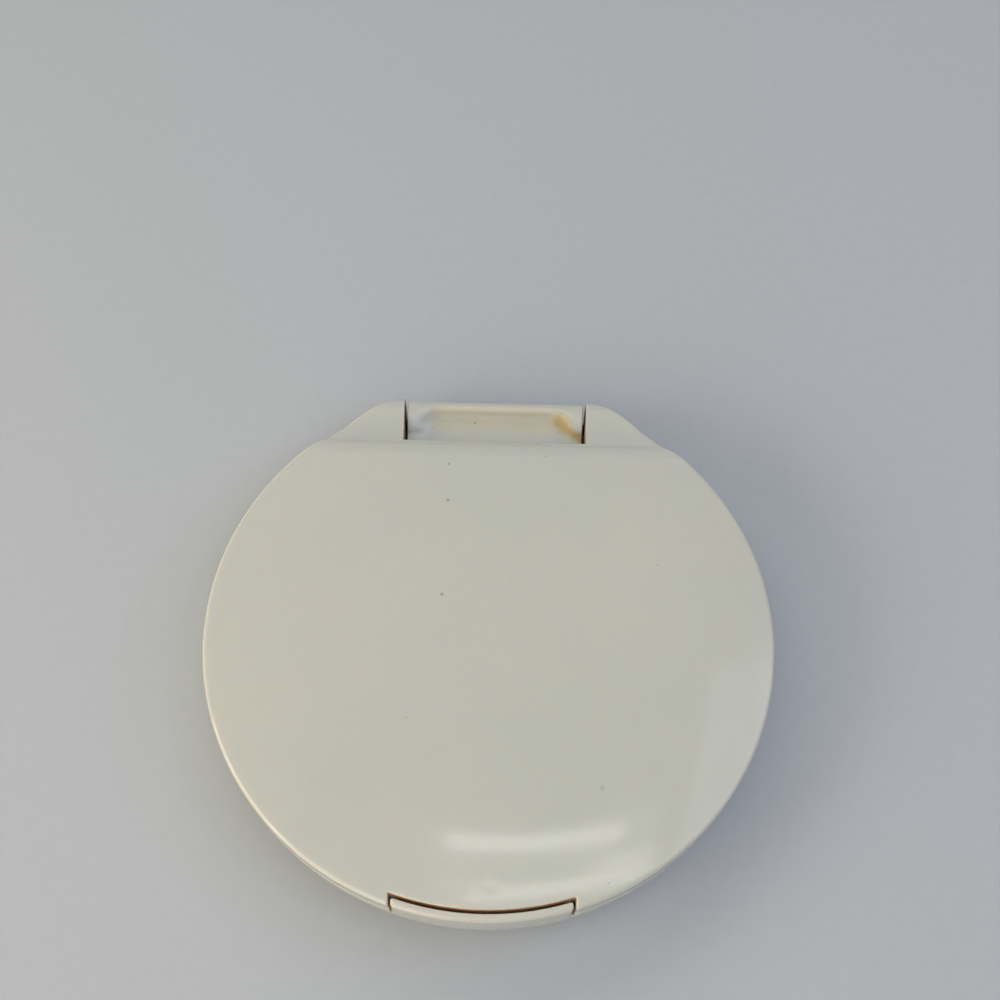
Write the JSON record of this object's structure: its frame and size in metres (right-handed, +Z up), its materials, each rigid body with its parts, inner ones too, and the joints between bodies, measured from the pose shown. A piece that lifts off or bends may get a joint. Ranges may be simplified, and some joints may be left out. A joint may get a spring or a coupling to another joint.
{
  "type": "folding pocket mirror",
  "caption": "Round folding pocket mirror: ivory plastic lid with a bevelled rear edge and two hinge ears, tapered base, press catch and a round mirror in each half.",
  "frame": {"origin": "centre of the round case, on the flat underside that it lies on", "axes": "+Z up out of the lid's top, +Y towards the hinge, +X to the right seen from the latch"},
  "size_m": [0.07, 0.0703, 0.01],
  "materials": {
    "ivory_plastic": "glossy moulded ivory plastic, slightly worn",
    "frame_plastic": "glossy moulded ivory plastic",
    "steel": "drawn steel",
    "mirror_glass": "silvered glass",
    "foam_pad": "white adhesive foam"
  },
  "bodies": {
    "base": {"base_shell": "ivory_plastic", "base_mirror": "mirror_glass", "base_mirror_pad": "foam_pad", "base_frame": "frame_plastic", "latch_spring": "steel"},
    "lid": {"lid_shell": "ivory_plastic", "lid_mirror": "mirror_glass", "lid_mirror_pad": "foam_pad", "lid_frame": "frame_plastic", "hinge_pin_left": "steel", "hinge_pin_right": "steel"},
    "button": {"latch_button": "ivory_plastic"}
  },
  "joints": [
    {"name": "lid_hinge", "type": "hinge", "parent": "base", "child": "lid", "pos_m": [0, 0.03185, 0.0039], "axis": [-1, 0, 0], "range_deg": [0, 160]},
    {"name": "latch_press", "type": "slide", "parent": "base", "child": "button", "axis": [0, 1, 0], "range_m": [0, 0.00035], "stiffness_N_per_m": 1500, "springref_m": -0.0005, "deforming": ["latch_spring"]}
  ]
}
